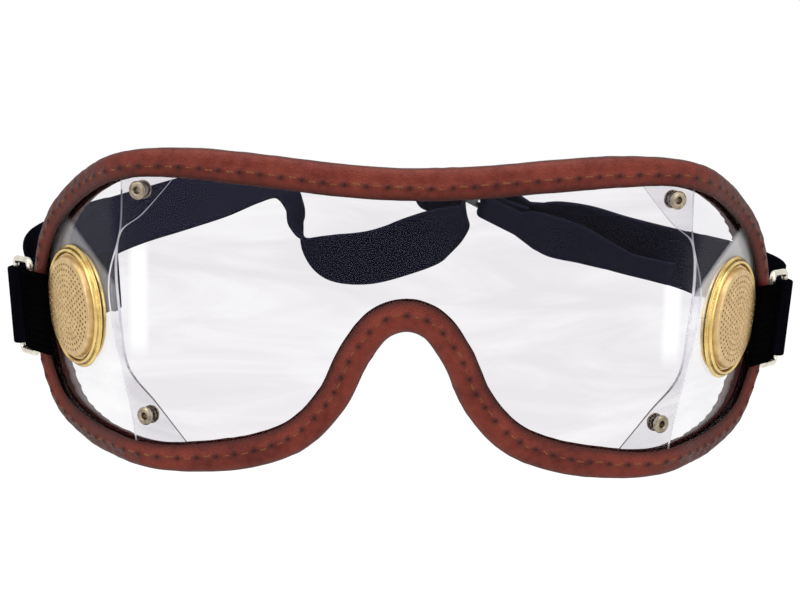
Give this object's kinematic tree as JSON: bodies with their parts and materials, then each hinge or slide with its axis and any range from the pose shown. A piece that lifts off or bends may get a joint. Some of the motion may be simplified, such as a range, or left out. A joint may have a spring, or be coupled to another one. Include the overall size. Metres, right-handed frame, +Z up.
{
  "type": "skydiving goggles",
  "caption": "Wrap-round goggles with a clear lens and side panels in a padded leather binding, brass side vents, and an elastic strap on swinging wire rings with a slide.",
  "frame": {"origin": "where the goggles sit on the face: on the middle plane of the front lens, midway across, just over the nose arch", "axes": "worn upright: +X from the left side of the picture to the right across the goggles, the lens faces -Y, the strap lies towards +Y, +Z up"},
  "size_m": [0.1913, 0.1097, 0.0694],
  "materials": {
    "clear_plastic": "clear, glossy, faintly grey",
    "leather": "reddish brown grain leather, satin, stitched in tan",
    "foam": "dark closed-cell foam, matte",
    "brass": "pale brass, satin",
    "wire": "plated wire, warm grey, glossy",
    "webbing": "black woven webbing",
    "elastic": "navy black woven elastic",
    "slide_plastic": "black moulded plastic"
  },
  "bodies": {
    "root": {"front_lens": "clear_plastic", "side_panel_left": "clear_plastic", "side_panel_right": "clear_plastic", "eyelet_upper_left": "brass", "eyelet_upper_right": "brass", "eyelet_lower_left": "brass", "eyelet_lower_right": "brass", "eyelet_washer_upper_left": "brass", "eyelet_washer_upper_right": "brass", "eyelet_washer_lower_left": "brass", "eyelet_washer_lower_right": "brass", "leather_binding": "leather", "foam_core": "foam", "vent_bezel_left": "brass", "vent_bezel_right": "brass", "vent_screen_left": "brass", "vent_screen_right": "brass", "vent_backing_ring_left": "brass", "vent_backing_ring_right": "brass", "webbing_tab_left": "webbing", "webbing_tab_right": "webbing", "strap_long": "elastic", "strap_short": "elastic"},
    "ring_left": {"wire_ring_left": "wire"},
    "ring_right": {"wire_ring_right": "wire"},
    "slide": {"slide_adjuster": "slide_plastic"}
  },
  "joints": [
    {"name": "ring_left_swing", "type": "hinge", "parent": "root", "child": "ring_left", "pos_m": [-0.08741, 0.05423, -0.0085], "axis": [0.0791, 0.0494, -0.9956], "range_deg": [-80, 80], "deforming": ["strap_long"]},
    {"name": "ring_right_swing", "type": "hinge", "parent": "root", "child": "ring_right", "pos_m": [0.08741, 0.05423, -0.0085], "axis": [0.0791, -0.0494, 0.9956], "range_deg": [-80, 80], "deforming": ["strap_short"]},
    {"name": "strap_adjust", "type": "slide", "parent": "root", "child": "slide", "axis": [0.9021, -0.02, -0.431], "range_m": [0, 0.025], "deforming": ["strap_long", "strap_short"]}
  ]
}
